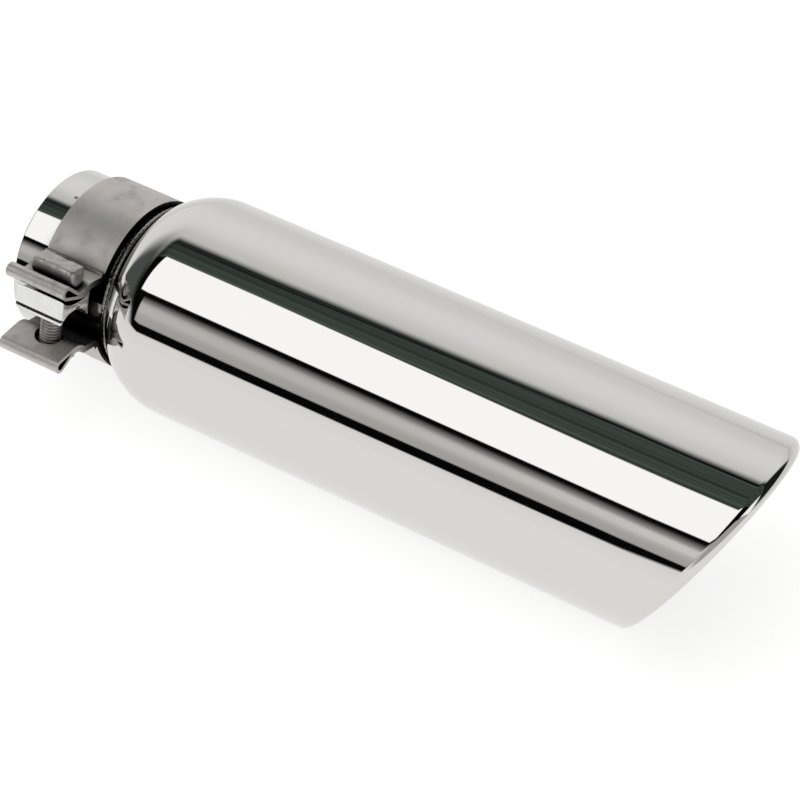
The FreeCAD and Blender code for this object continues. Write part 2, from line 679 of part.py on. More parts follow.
# Bolt: a half-round bar head that lies in the upper ear's trough, on a threaded shank
def make_clamp_bolt():
    trough_level = "(Sizes.EarLevel + Sizes.TroughRadius)"
    seat_radius = "(Sizes.TroughRadius - 2 * Sizes.StripThickness - Sizes.FoldGap - Sizes.SeatGap)"
    across = dict(axis=vector(0, 1, 0), angle="90")
    start = "(Sizes.BoltStation - Sizes.HeadLength / 2)"
    round_bar = cylinder(
        "HeadRoundBar",
        seat_radius,
        "Sizes.HeadLength",
        x=start,
        y=f"-{bolt_offset}",
        z=trough_level,
        **across,
    )
    straight_sides = box(
        "HeadSides",
        "Sizes.HeadLength",
        f"2 * {seat_radius}",
        "Sizes.HeadHeight",
        x=start,
        y=f"-{bolt_offset} - {seat_radius}",
        z=trough_level,
    )
    below_top = box(
        "HeadSpace",
        "2 * Sizes.HeadLength",
        f"4 * {seat_radius}",
        "2 * Sizes.HeadHeight",
        x=f"{start} - Sizes.HeadLength / 2",
        y=f"-{bolt_offset} - 2 * {seat_radius}",
        z=f"{trough_level} - {seat_radius} - Sizes.HeadHeight",
    )
    bar = common("HeadBar", fuse("HeadBlank", [round_bar, straight_sides]), below_top)
    seat_mm = size["TroughRadius"] - 2 * size["StripThickness"] - size["FoldGap"] - size["SeatGap"]
    top_mm = size["EarLevel"] + size["TroughRadius"] + size["HeadHeight"] - seat_mm
    head_round = min(size["HeadRound"], 0.45 * seat_mm)
    head = fillet(
        "BarHead",
        bar,
        head_round,
        lambda edge: all(abs(vertex.Z - top_mm) < 0.01 for vertex in edge.Vertexes),
    )
    end_level = lower_trough_centre().y + seat_mm - size["NutHeight"] - size["BoltTip"]
    shank = add("Part::Cylinder", "Shank")
    bind(shank, Radius="Sizes.ShankDiameter / 2")
    bind(shank, Height=f"{trough_level} - {end_level}")
    place(shank, x="Sizes.BoltStation", y=f"-{bolt_offset}", z=end_level)
    doc.recompute()
    tapered = add("Part::Chamfer", "ShankEnd")
    tapered.Base = shank
    bevel = size["ShankChamfer"]
    rims = enumerate(shank.Shape.Edges, start=1)
    tapered.Edges = [
        (number, bevel, bevel)
        for number, edge in rims
        if abs(edge.BoundBox.ZMax - end_level) < 0.01
    ]
    bolt = fuse("ClampBolt", [head, tapered])
    bolt.Label = "clamp_bolt"
    return bolt


def lower_trough_centre():
    """Centre of the lower ear's trough, across the axis."""
    return ear_pins(-1, -size["LowerEarDroop"])[2][0]


def nut_foot_rise():
    """Top of the tapped bar's foot above the trough's centre, clear of the ear's slope."""
    half = size["StripThickness"] / 2
    layer = size["StripThickness"] + size["FoldGap"]
    trough, curl = ear_pins(1, 0)[-2:]
    folded_trough = (trough[0], trough[1] - layer, 1)
    slope = lead(folded_trough, (curl[0], curl[1], -1)) + math.radians(size["LowerEarDroop"])
    floor_radius = trough[1] - layer - half
    edge = size["NutFootWidth"] / 2
    return (floor_radius - edge * math.sin(slope)) / math.cos(slope) - size["SeatGap"]


# Nut: a tapped bar with a round back that lies in the lower ear's trough, and a flat foot
def make_clamp_nut():
    centre = lower_trough_centre()
    rise = nut_foot_rise()
    across = dict(axis=vector(0, 1, 0), angle="90")
    start = "(Sizes.BoltStation - Sizes.NutLength / 2)"
    radius = "(Sizes.TroughRadius - 2 * Sizes.StripThickness - Sizes.FoldGap - Sizes.SeatGap)"
    bottom = f"({centre.y} + {radius} - Sizes.NutHeight)"
    bar = cylinder(
        "NutBar", radius, "Sizes.NutLength", x=start, y=-centre.x, z=centre.y, **across
    )
    upper_half = box(
        "NutBackSpace",
        "Sizes.NutLength",
        f"4 * {radius}",
        "Sizes.NutHeight",
        x=start,
        y=f"{-centre.x} - 2 * {radius}",
        z=bottom,
    )
    back = common("NutBack", bar, upper_half)
    foot = box(
        "NutFoot",
        "Sizes.NutLength",
        "Sizes.NutFootWidth",
        f"{centre.y + rise} - {bottom}",
        x=start,
        y=f"{-centre.x} - Sizes.NutFootWidth / 2",
        z=bottom,
    )
    tapping = cylinder(
        "NutBore",
        "Sizes.ShankDiameter / 2 + Sizes.ThreadGap",
        "Sizes.NeckDiameter",
        x="Sizes.BoltStation",
        y=f"-{bolt_offset}",
        z="-Sizes.NeckDiameter",
    )
    nut = cut("ClampNut", fuse("NutBlank", [back, foot]), tapping)
    nut.Label = "clamp_nut"
    return nut


tip_body = make_tip_body()
inlet_neck = make_inlet_neck()
neck_weld = make_neck_weld()
clamp_band = make_clamp_band()
spacer_block = make_spacer_block()
clamp_bolt = make_clamp_bolt()
clamp_nut = make_clamp_nut()

for clamp_piece in (clamp_band, spacer_block, clamp_bolt, clamp_nut):
    place(clamp_piece, axis=vector(-1, 0, 0), angle="Sizes.ClampTurn")
doc.recompute()

nodes = [tip_body, inlet_neck, neck_weld, clamp_band, spacer_block, clamp_bolt, clamp_nut]
for thing in doc.Objects:
    if "Invalid" in thing.State or "Error" in thing.State:
        raise RuntimeError(f"{thing.Name} failed: {thing.State}")
for node in nodes:
    if node.Shape.isNull() or not node.Shape.isValid() or len(node.Shape.Solids) != 1:
        raise RuntimeError(f"{node.Label} is not one valid solid")

os.makedirs("parts", exist_ok=True)
for node in nodes:
    node.Shape.exportStep(f"parts/{node.Label}.step")
    box_of = node.Shape.BoundBox
    print(
        f"{node.Label}: {node.Shape.Volume / 1000:.1f} cm3, x {box_of.XMin:.1f} to {box_of.XMax:.1f},"
        f" y {box_of.YMin:.1f} to {box_of.YMax:.1f}, z {box_of.ZMin:.1f} to {box_of.ZMax:.1f}"
    )
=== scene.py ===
import math

import bmesh
import bpy
from mathutils import Matrix, Vector


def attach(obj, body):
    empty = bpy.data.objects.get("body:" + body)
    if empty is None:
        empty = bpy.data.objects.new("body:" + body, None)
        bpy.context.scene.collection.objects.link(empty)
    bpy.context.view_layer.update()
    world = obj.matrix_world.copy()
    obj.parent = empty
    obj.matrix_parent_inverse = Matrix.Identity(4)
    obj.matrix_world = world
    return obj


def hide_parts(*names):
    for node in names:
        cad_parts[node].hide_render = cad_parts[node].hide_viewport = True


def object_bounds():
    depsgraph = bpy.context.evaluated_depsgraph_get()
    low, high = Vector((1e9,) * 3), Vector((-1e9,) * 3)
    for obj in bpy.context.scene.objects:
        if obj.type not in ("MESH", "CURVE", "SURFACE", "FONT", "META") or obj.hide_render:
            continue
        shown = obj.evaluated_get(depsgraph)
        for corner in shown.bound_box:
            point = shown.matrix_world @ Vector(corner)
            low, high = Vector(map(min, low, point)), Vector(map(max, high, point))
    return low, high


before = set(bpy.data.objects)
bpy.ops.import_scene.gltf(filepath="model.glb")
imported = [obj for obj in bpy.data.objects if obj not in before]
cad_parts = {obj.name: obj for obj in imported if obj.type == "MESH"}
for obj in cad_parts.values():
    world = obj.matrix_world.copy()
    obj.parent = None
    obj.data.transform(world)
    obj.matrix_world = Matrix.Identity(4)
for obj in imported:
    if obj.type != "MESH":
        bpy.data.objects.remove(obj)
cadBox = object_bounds()
mm = 0.001


# Small helpers

def hexColour(code):
    # sRGB hex to the linear values that shader sockets take
    channels = [int(code[i:i + 2], 16) / 255 for i in (1, 3, 5)]
    linear = [c / 12.92 if c <= 0.04045 else ((c + 0.055) / 1.055) ** 2.4 for c in channels]
    return (*linear, 1.0)


def addNode(tree, kind, settings=None, **inputs):
    # settings are the node's own properties. Inputs go by name, or inN for the Nth, and take a
    # value, a socket, or a node, whose first output is meant.
    node = tree.nodes.new(kind)
    for name, value in (settings or {}).items():
        setattr(node, name, value)
    for name, value in inputs.items():
        socket = node.inputs[int(name[2:]) if name[2:].isdigit() else name.replace("_", " ")]
        if isinstance(value, bpy.types.Node):
            value = value.outputs[0]
        if isinstance(value, bpy.types.NodeSocket):
            tree.links.new(value, socket)
        else:
            socket.default_value = value
    return node


# node settings that come up often
smooth = {"interpolation_type": "SMOOTHSTEP"}
times = {"operation": "MULTIPLY"}
plus = {"operation": "ADD"}
minus = {"operation": "SUBTRACT"}
scale = {"operation": "SCALE"}
rgba = {"data_type": "RGBA"}


def newMaterial(name):
    material = bpy.data.materials.new(name)
    material.use_nodes = True
    tree = material.node_tree
    tree.nodes.clear()
    return material, tree


def paintCornerShade(tree, colour, corner):
    # painted shade: leaves open metal as it is, and darkens the colour in corners narrower than
    # the depth, down to the darkest
    openness = addNode(
        tree, "ShaderNodeAmbientOcclusion", {"samples": 8}, Distance=corner["depth"]
    ).outputs["AO"]
    paintedShade = addNode(
        tree, "ShaderNodeMapRange", smooth, Value=openness,
        From_Min=corner["closed"], From_Max=0.8, To_Min=corner["darkest"], To_Max=1.0,
    )
    return addNode(tree, "ShaderNodeVectorMath", scale, in0=colour, Scale=paintedShade)


def ringFaces(rings, columns, looped=False):
    # quads between rings of points. A looped skin joins its last ring to its first.
    faces = []
    for i in range(rings if looped else rings - 1):
        here, there = i * columns, (i + 1) % rings * columns
        for j in range(columns):
            k = (j + 1) % columns
            faces.append((here + j, here + k, there + k, there + j))
    return faces


def barFaces(rings, columns, first=0):
    # rings with a lid on each end, for points that begin at the number given
    faces = ringFaces(rings, columns)
    faces.append(tuple(reversed(range(columns))))
    faces.append(tuple(range((rings - 1) * columns, rings * columns)))
    return [tuple(first + k for k in face) for face in faces]


def arcPoints(centre, radius, start, end, steps):
    angles = [start + (end - start) * i / steps for i in range(steps + 1)]
    return [(centre[0] + radius * math.cos(a), centre[1] + radius * math.sin(a)) for a in angles]


def makePiece(name, node, material, points, faces, crease=None):
    mesh = bpy.data.meshes.new(name)
    mesh.from_pydata([tuple(p) for p in points], [], faces)
    mesh.validate()
    for face in mesh.polygons:
        face.use_smooth = True
    if crease:
        mesh.set_sharp_from_angle(angle=math.radians(crease))
    mesh.materials.append(material)
    piece = bpy.data.objects.new(name, mesh)
    bpy.context.scene.collection.objects.link(piece)
    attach(piece, "root")
    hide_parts(node)
    return piece


def dressNode(name, material):
    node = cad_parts[name]
    for slot in node.material_slots:
        slot.material = material
    if not node.material_slots:
        node.data.materials.append(material)


# Camera: the photograph's view, a long lens from above, in front and to the outlet's side

cameraSettings = {
    "place": (0.9047, -0.8688, 1.1778),
    "right": (0.81986, 0.56643, -0.08350),
    "up": (-0.36494, 0.62932, 0.68607),
    "back": (0.44119, -0.53202, 0.72266),
    "lens": 169.94,                       # millimetres
    "sensor": 36,
}


def makeCamera(settings):
    data = bpy.data.cameras.new("camera")
    data.sensor_width = settings["sensor"]
    data.lens = settings["lens"]
    camera = bpy.data.objects.new("camera", data)
    bpy.context.scene.collection.objects.link(camera)
    turn = Matrix((settings["right"], settings["up"], settings["back"])).transposed()
    camera.matrix_world = Matrix.Translation(settings["place"]) @ turn.to_4x4()
    bpy.context.scene.camera = camera


# Studio: a white tent round a white table, open on one side to a dark room where a softbox, a
# grey card and a curtain hang. Polished metal shows nothing else, so these are its light and
# dark bands. Angles are degrees round the tip's axis from level on the ears' side, before the
# whole studio is turned up by its lean. An edge is its angle, how soft it is, and how far it
# has drifted at the shell's far end, because the panels don't hang quite parallel to the tip.
# A panel stops where a direction leans past the planes in its ends, each with its own softness.
# Panels hang one in front of the other, the last one nearest.

# ends that several panels share
leftEnd = (0.701, -0.690, 0.178)
roomEnd = (0.559, -0.717, 0.414)
curtainEnd = (0.701, -0.584, 0.409)
cardEnd = (0.78, -0.62, -0.10)
rightEnd = (-0.627, 0.085, 0.774)

studio = {
    "lean": 19.2,
    "behind": 0.74,                       # the tent's level straight behind the tip
    "rises": [                            # then by how much it rises towards the front, and where
        (0.13, -0.90, -0.84), (0.13, -0.86, -0.6), (0.07, -0.2, 0.6),
    ],
    "fill": 0.85,                         # world light on anything that isn't a mirror
    "driftSpan": (-0.48, -0.39),
    "foldSpacing": (1.3, 26.0),           # cloth folds, along the tip and round it
    "panels": [
        {"name": "shaded flap", "low": (80, 2), "high": (107, 34), "colour": "#E2E2E0"},
        {"name": "side flap", "low": (2, 12), "high": (92, 36), "colour": "#565A58",
         "ends": [((-0.669, 0.478, -0.569), 0.12)]},
        {"name": "far wall", "low": (-150, 25), "high": (38, 6), "colour": "#BDBBB9",
         "ends": [((0.521, -0.148, 0.841), 0.12), ((1.0, 0.0, 0.0), 0.25)]},
        {"name": "doorway", "low": (38, 6), "high": (97, 8), "colour": "#0B0E0C",
         "ends": [((1.0, 0.0, 0.0), 0.2)]},
        {"name": "far doorway", "low": (-200, 1), "high": (200, 1), "colour": "#1E2120",
         "ends": [((0.94, -0.296, -0.171), 0.10), ((0.0, 0.174, 0.985), 0.30),
                  ((0.0, 0.998, -0.070), 0.06)]},
        {"name": "window", "low": (42, 8), "high": (92, 5), "colour": "#FFFFFF", "level": 1.35,
         "ends": [((0.656, 0.283, -0.700), 0.04)]},
        {"name": "table edge", "low": (-18, 6), "high": (-13.5, 2, 1.6), "colour": "#FAFAF8",
         "ends": [(rightEnd, 0.3)]},
        {"name": "dark room", "low": (-14.9, 1.6, 1.6), "high": (92.8, 9, 6.4),
         "colour": "#070908", "ends": [(roomEnd, 0.10), (rightEnd, 0.02)]},
        {"name": "curtain", "low": (67, 2, -3), "high": (88.0, 3, 8), "colour": "#444D48",
         "folds": 0.55, "ends": [(curtainEnd, 0.15), (rightEnd, 0.05)]},
        {"name": "rail", "low": (84.8, 1.0, 8.9), "high": (87, 1.2, 8.9), "colour": "#020303",
         "ends": [(curtainEnd, 0.15), ((-0.95, -0.30, 0.05), 0.25)]},
        {"name": "card", "low": (-5.8, 1.4, 2), "high": (18.5, 10), "colour": "#C4C2C0",
         "folds": 0.08, "ends": [(cardEnd, 0.02), (rightEnd, 0.05)]},
        {"name": "card's upper part", "low": (4, 8), "high": (14, 6), "colour": "#DAD9D7",
         "ends": [(cardEnd, 0.02), (rightEnd, 0.05)]},
        {"name": "card's lit edge", "low": (7.5, 4), "high": (14.5, 2.5), "colour": "#EEEDEB",
         "ends": [((0.91, -0.407, 0.079), 0.06), (rightEnd, 0.05)]},
        {"name": "softbox", "low": (27.2, 1.2, -0.8), "high": (67.7, 1.2, -3.2),
         "colour": "#FFFFFF", "level": 1.47, "ends": [(leftEnd, 0.01), ((-1.0, 0.0, 0.0), 0.02)]},
    ],
}


def makeStudio(settings):
    world = bpy.data.worlds.new("studio")
    bpy.context.scene.world = world
    world.use_nodes = True
    tree = world.node_tree
    tree.nodes.clear()

    upright = addNode(tree, "ShaderNodeTexCoord").outputs["Generated"]
    direction = addNode(
        tree, "ShaderNodeVectorRotate", {"rotation_type": "X_AXIS"},
        Vector=upright, Angle=math.radians(settings["lean"]),
    )
    parts = addNode(tree, "ShaderNodeSeparateXYZ", Vector=direction).outputs
    toFront = addNode(tree, "ShaderNodeMath", times, in0=parts["Y"], in1=-1.0)
    around = addNode(
        tree, "ShaderNodeMath", {"operation": "ARCTAN2"}, in0=parts["Z"], in1=toFront
    )
    driftStart, driftEnd = settings["driftSpan"]
    drifted = addNode(
        tree, "ShaderNodeMapRange", Value=parts["X"], From_Min=driftStart, From_Max=driftEnd
    )
    foldsAlong, foldsAround = settings["foldSpacing"]
    cloth = addNode(
        tree, "ShaderNodeCombineXYZ",
        X=addNode(tree, "ShaderNodeMath", times, in0=parts["X"], in1=foldsAlong),
        Y=addNode(tree, "ShaderNodeMath", times, in0=around, in1=foldsAround),
    )
    folds = addNode(tree, "ShaderNodeTexNoise", Vector=cloth, Scale=1.0, Detail=2.0)

    def pastEdge(angle, soft, drift=0):
        # 0 below an edge and 1 above it
        shift = addNode(tree, "ShaderNodeMath", times, in0=drifted, in1=math.radians(drift))
        shifted = addNode(tree, "ShaderNodeMath", minus, in0=around, in1=shift)
        return addNode(
            tree, "ShaderNodeMapRange", smooth, Value=shifted,
            From_Min=math.radians(angle - soft / 2), From_Max=math.radians(angle + soft / 2),
        )

    seen = settings["behind"]
    for rise, start, end in settings["rises"]:
        share = addNode(
            tree, "ShaderNodeMapRange", smooth, Value=toFront, From_Min=start, From_Max=end
        )
        added = addNode(tree, "ShaderNodeMath", times, in0=share, in1=rise)
        seen = addNode(tree, "ShaderNodeMath", plus, in0=seen, in1=added)

    for panel in settings["panels"]:
        below = addNode(tree, "ShaderNodeMath", minus, in0=1.0, in1=pastEdge(*panel["high"]))
        mask = addNode(tree, "ShaderNodeMath", times, in0=pastEdge(*panel["low"]), in1=below)
        for plane, soft in panel.get("ends", []):
            lean = addNode(
                tree, "ShaderNodeVectorMath", {"operation": "DOT_PRODUCT"},
                in0=direction, in1=plane,
            ).outputs["Value"]
            inside = addNode(
                tree, "ShaderNodeMapRange", smooth, Value=lean, From_Min=-soft, From_Max=soft
            )
            mask = addNode(tree, "ShaderNodeMath", times, in0=mask, in1=inside)
        colour = tuple(c * panel.get("level", 1.0) for c in hexColour(panel["colour"]))
        if "folds" in panel:
            shade = addNode(
                tree, "ShaderNodeMapRange", Value=folds, From_Min=0.3, From_Max=0.7,
                To_Min=1 - panel["folds"], To_Max=1 + panel["folds"],
            )
            colour = addNode(
                tree, "ShaderNodeVectorMath", scale, in0=colour[:3], Scale=shade
            ).outputs[0]
        seen = addNode(
            tree, "ShaderNodeMix", rgba, Factor=mask, in6=seen, in7=colour
        ).outputs[2]

    rays = addNode(tree, "ShaderNodeLightPath").outputs
    white = (1, 1, 1, 1)
    light = (*[settings["fill"]] * 3, 1)
    shownTo = {"Is Glossy Ray": seen, "Is Camera Ray": white, "Is Transmission Ray": white}
    for ray, shown in shownTo.items():
        light = addNode(
            tree, "ShaderNodeMix", rgba, Factor=rays[ray], in6=light, in7=shown
        ).outputs[2]
    background = addNode(tree, "ShaderNodeBackground", Color=light, Strength=1.0)
    addNode(tree, "ShaderNodeOutputWorld", Surface=background)


# Floor: a matt white table that the shell's underside touches

table = {
    "colour": "#F4F4F2",
    "glow": 0.72,                         # share of plain white, which keeps the shadow pale
    "white": 1.1,
    # painted shade: the table behind the tip glows dimmer, in reflections only
    "beyond": 0.86,                       # what the metal sees of the table behind the tip
    "beyondFrom": (0.04, 0.14),
    "near": -1.2,
    "far": 2.0,
    "sides": (-1.6, 2.0),
}


def makeFloor(settings, level):
    left, right = settings["sides"]
    corners = [
        (left, settings["near"], level), (right, settings["near"], level),
        (right, settings["far"], level), (left, settings["far"], level),
    ]
    mesh = bpy.data.meshes.new("table")
    mesh.from_pydata(corners, [], [(0, 1, 2, 3)])
    floor = bpy.data.objects.new("table", mesh)
    bpy.context.scene.collection.objects.link(floor)

    material, tree = newMaterial("mattPaper")
    paper = addNode(
        tree, "ShaderNodeBsdfPrincipled",
        Base_Color=hexColour(settings["colour"]), Roughness=0.9, Specular_IOR_Level=0.1,
    )
    place = addNode(tree, "ShaderNodeTexCoord").outputs["Object"]
    depth = addNode(tree, "ShaderNodeSeparateXYZ", Vector=place).outputs["Y"]
    start, end = settings["beyondFrom"]
    # painted shade on the far side of the table, seen only by glossy rays
    beyond = addNode(tree, "ShaderNodeMapRange", smooth, Value=depth, From_Min=start, From_Max=end)
    mirrored = addNode(tree, "ShaderNodeLightPath").outputs["Is Glossy Ray"]
    both = addNode(tree, "ShaderNodeMath", times, in0=beyond, in1=mirrored)
    strength = addNode(
        tree, "ShaderNodeMapRange", Value=both, To_Min=settings["white"], To_Max=settings["beyond"]
    )
    glow = addNode(tree, "ShaderNodeEmission", Color=(1, 1, 1, 1), Strength=strength)
    mixed = addNode(tree, "ShaderNodeMixShader", Fac=settings["glow"], in1=paper, in2=glow)
    addNode(tree, "ShaderNodeOutputMaterial", Surface=mixed)
    mesh.materials.append(material)


# One soft lamp overhead, its own reflection kept off the polished sheet as a photographer would

topLamp = {"place": (0.15, -0.35, 1.1), "aim": (0.18, 0.0, 0.0), "width": 1.0, "power": 6.0}


def makeLamp(settings):
    data = bpy.data.lights.new("topLamp", "AREA")
    data.size = settings["width"]
    data.energy = settings["power"]
    lamp = bpy.data.objects.new("topLamp", data)
    bpy.context.scene.collection.objects.link(lamp)
    lamp.location = settings["place"]
    aim = Vector(settings["aim"]) - Vector(settings["place"])
    lamp.rotation_mode = "QUATERNION"
    lamp.rotation_quaternion = aim.to_track_quat("-Z", "Y")
    lamp.visible_glossy = False


# Finishes. A corner is painted shade: it says how deep a crevice has to be to go dark, how closed,
# and how dark.

polishedStainless = {
    "colour": "#CFCECC",                  # stainless steel reflects a little over 60 percent
    "roughness": 0.025,
    "cloud": 40 * mm,                     # patches that the buffing left more or less bright
    "streakWidth": 0.5 * mm,              # buffing lines, drawn coarser than real to show
    "streakLength": 60 * mm,
    "streakDepth": 0.0004 * mm,
    # the shell's and the neck's finishes differ only in their painted corner shade
    "shell": {"name": "polishedStainlessShell",
              "corner": {"depth": 9 * mm, "closed": 0.2, "darkest": 0.03}},
    "neck": {"name": "polishedStainlessNeck",
             "corner": {"depth": 26 * mm, "closed": 0.5, "darkest": 0.03}},
}


def makePolishedStainless(settings, piece):
    # 304 stainless sheet, buffed to a mirror after spinning: it shows the studio sharply, with
    # the faintest lengthwise lines
    material, tree = newMaterial(piece["name"])
    place = addNode(tree, "ShaderNodeTexCoord").outputs["Object"]
    fine = 1 / settings["streakWidth"]
    stretched = addNode(
        tree, "ShaderNodeMapping", Vector=place, Scale=(1 / settings["streakLength"], fine, fine)
    )
    lines = addNode(
        tree, "ShaderNodeTexNoise", Vector=stretched, Scale=1.0, Detail=2.0, Roughness=0.6
    )
    clouds = addNode(
        tree, "ShaderNodeTexNoise", Vector=place, Scale=1 / settings["cloud"], Detail=2.0
    )
    roughness = addNode(
        tree, "ShaderNodeMapRange", Value=clouds, From_Min=0.3, From_Max=0.75,
        To_Min=settings["roughness"] * 0.6, To_Max=settings["roughness"] * 1.8,
    )
    # painted shade: the colour darkens in corners and crevices beside other parts
    colour = paintCornerShade(tree, hexColour(settings["colour"])[:3], piece["corner"])
    bump = addNode(
        tree, "ShaderNodeBump", Height=lines, Strength=1.0, Distance=settings["streakDepth"]
    )
    steel = addNode(
        tree, "ShaderNodeBsdfPrincipled",
        Base_Color=colour, Metallic=1.0, Roughness=roughness, Normal=bump,
    )
    addNode(tree, "ShaderNodeOutputMaterial", Surface=steel)
    return material


millStrip = {
    "colour": "#C3BFBC",
    "stain": "#B4AFAB",                   # dull blotches left by rolling and handling
    "roughness": 0.50,
    # painted shade, in the band's corners and between its ears
    "corner": {"depth": 18 * mm, "closed": 0.40, "darkest": 0.02},
    "grainWidth": 0.22 * mm,              # rolled grain, round the band
    "grainLength": 14 * mm,
    "grainDepth": 0.006 * mm,
    "blotch": 9 * mm,
    "edge": 0.25 * mm,                    # how far its edges are rounded
}


def makeMillStrip(settings):
    # 430 stainless strip as rolled: a satin, warm grey sheen, its grain running round the band
    material, tree = newMaterial("millStrip")
    place = addNode(tree, "ShaderNodeTexCoord").outputs["Object"]
    along = 1 / settings["grainLength"]
    stretched = addNode(
        tree, "ShaderNodeMapping", Vector=place, Scale=(1 / settings["grainWidth"], along, along)
    )
    grain = addNode(
        tree, "ShaderNodeTexNoise", Vector=stretched, Scale=1.0, Detail=3.0, Roughness=0.6
    )
    blotches = addNode(
        tree, "ShaderNodeTexNoise",
        Vector=place, Scale=1 / settings["blotch"], Detail=4.0, Roughness=0.65,
    )
    stained = addNode(
        tree, "ShaderNodeMapRange", smooth, Value=blotches, From_Min=0.50, From_Max=0.72
    )
    colour = addNode(
        tree, "ShaderNodeMix", rgba,
        Factor=stained, in6=hexColour(settings["colour"]), in7=hexColour(settings["stain"]),
    ).outputs[2]
    toned = addNode(
        tree, "ShaderNodeMapRange",
        Value=grain, From_Min=0.25, From_Max=0.75, To_Min=0.90, To_Max=1.06,
    )
    colour = addNode(tree, "ShaderNodeVectorMath", scale, in0=colour, Scale=toned)
    # painted shade: the colour darkens in the band's corners and between its ears
    colour = paintCornerShade(tree, colour, settings["corner"])
    roughness = addNode(
        tree, "ShaderNodeMapRange", Value=blotches, From_Min=0.3, From_Max=0.8,
        To_Min=settings["roughness"] * 0.85, To_Max=settings["roughness"] * 1.25,
    )
    rounded = addNode(tree, "ShaderNodeBevel", {"samples": 4}, Radius=settings["edge"])
    bump = addNode(
        tree, "ShaderNodeBump",
        Height=grain, Strength=1.0, Distance=settings["grainDepth"], Normal=rounded,
    )
    strip = addNode(
        tree, "ShaderNodeBsdfPrincipled",
        Base_Color=colour, Metallic=1.0, Roughness=roughness, Normal=bump,
    )
    addNode(tree, "ShaderNodeOutputMaterial", Surface=strip)
    return material


satinSteel = {
    "edge": 0.35 * mm,                    # how far edges are rounded
    "wearPatch": 5 * mm,
    # each piece's corner is painted shade in its crevices
    "spacer": {"name": "tumbledSteel", "colour": "#DADAD8", "roughness": 0.20,
               "pit": 1.2 * mm, "pitDepth": 0.0008 * mm, "wear": 0.97,
               "corner": {"depth": 4 * mm, "closed": 0.2, "darkest": 0.03}},
    "bolt": {"name": "forgedSteel", "colour": "#BAB6B3", "roughness": 0.45,
             "pit": 1.9 * mm, "pitDepth": 0.30 * mm, "wear": 0.84,
             "corner": {"depth": 8 * mm, "closed": 0.2, "darkest": 0.03}},
    # the weld's own duller grey, made darker still as painted shade for the dark gap beside the
    # band
    "weld": {"name": "stainlessWeld", "colour": "#8C8E8B", "roughness": 0.20,
             "pit": 1.0 * mm, "pitDepth": 0.01 * mm, "wear": 0.86,
             "corner": {"depth": 10 * mm, "closed": 0.2, "darkest": 0.03}},
}


def makeSatinSteel(settings, piece):
    # plain steel, tumbled, forged or welded: an even grey sheen with shallow pits and soft edges,
    # and painted shade in its corners
    material, tree = newMaterial(piece["name"])
    place = addNode(tree, "ShaderNodeTexCoord").outputs["Object"]
    pits = addNode(
        tree, "ShaderNodeTexNoise", Vector=place, Scale=1 / piece["pit"], Detail=3.0
    )
    wear = addNode(
        tree, "ShaderNodeTexNoise", Vector=place, Scale=1 / settings["wearPatch"], Detail=3.0
    )
    toned = addNode(
        tree, "ShaderNodeMapRange",
        Value=wear, From_Min=0.3, From_Max=0.7, To_Min=piece["wear"], To_Max=1.05,
    )
    plain = hexColour(piece["colour"])[:3]
    colour = addNode(tree, "ShaderNodeVectorMath", scale, in0=plain, Scale=toned)
    # painted shade: the colour darkens in crevices where parts meet
    colour = paintCornerShade(tree, colour, piece["corner"])
    roughness = addNode(
        tree, "ShaderNodeMapRange", Value=pits, From_Min=0.3, From_Max=0.7,
        To_Min=piece["roughness"] * 0.8, To_Max=piece["roughness"] * 1.25,
    )
    rounded = addNode(tree, "ShaderNodeBevel", {"samples": 4}, Radius=settings["edge"])
    bump = addNode(
        tree, "ShaderNodeBump",
        Height=pits, Strength=1.0, Distance=piece["pitDepth"], Normal=rounded,
    )
    steel = addNode(
        tree, "ShaderNodeBsdfPrincipled",
        Base_Color=colour, Metallic=1.0, Roughness=roughness, Normal=bump,
    )
    addNode(tree, "ShaderNodeOutputMaterial", Surface=steel)
    return material


# Shell: the same spun and rolled sheet as the CAD's, in a mesh fine enough for clean reflections

shell = {
    "radius": 50.8 * mm,
    "wall": 1.5 * mm,
    "hole": 37.85 * mm,                   # round the neck
    "root": 51.8 * mm,                    # where the shoulder meets the neck
    "shoulder": 34.0 * mm,                # arc of the spun shoulder, seen in section
    "outlet": 343.4 * mm,                 # where the cut crosses the axis
    "cut": 33.0,                          # degrees
    "roll": 4.2 * mm,
    "land": 0.3 * mm,                     # flat on the crest of the roll
    "lipReturn": 12.0 * mm,
    "columns": 400,
    "shoulderSteps": (44, 16),            # outside and inside
    "rollSteps": (22, 8),
    "sideSteps": 10,
    "crease": 40,
}


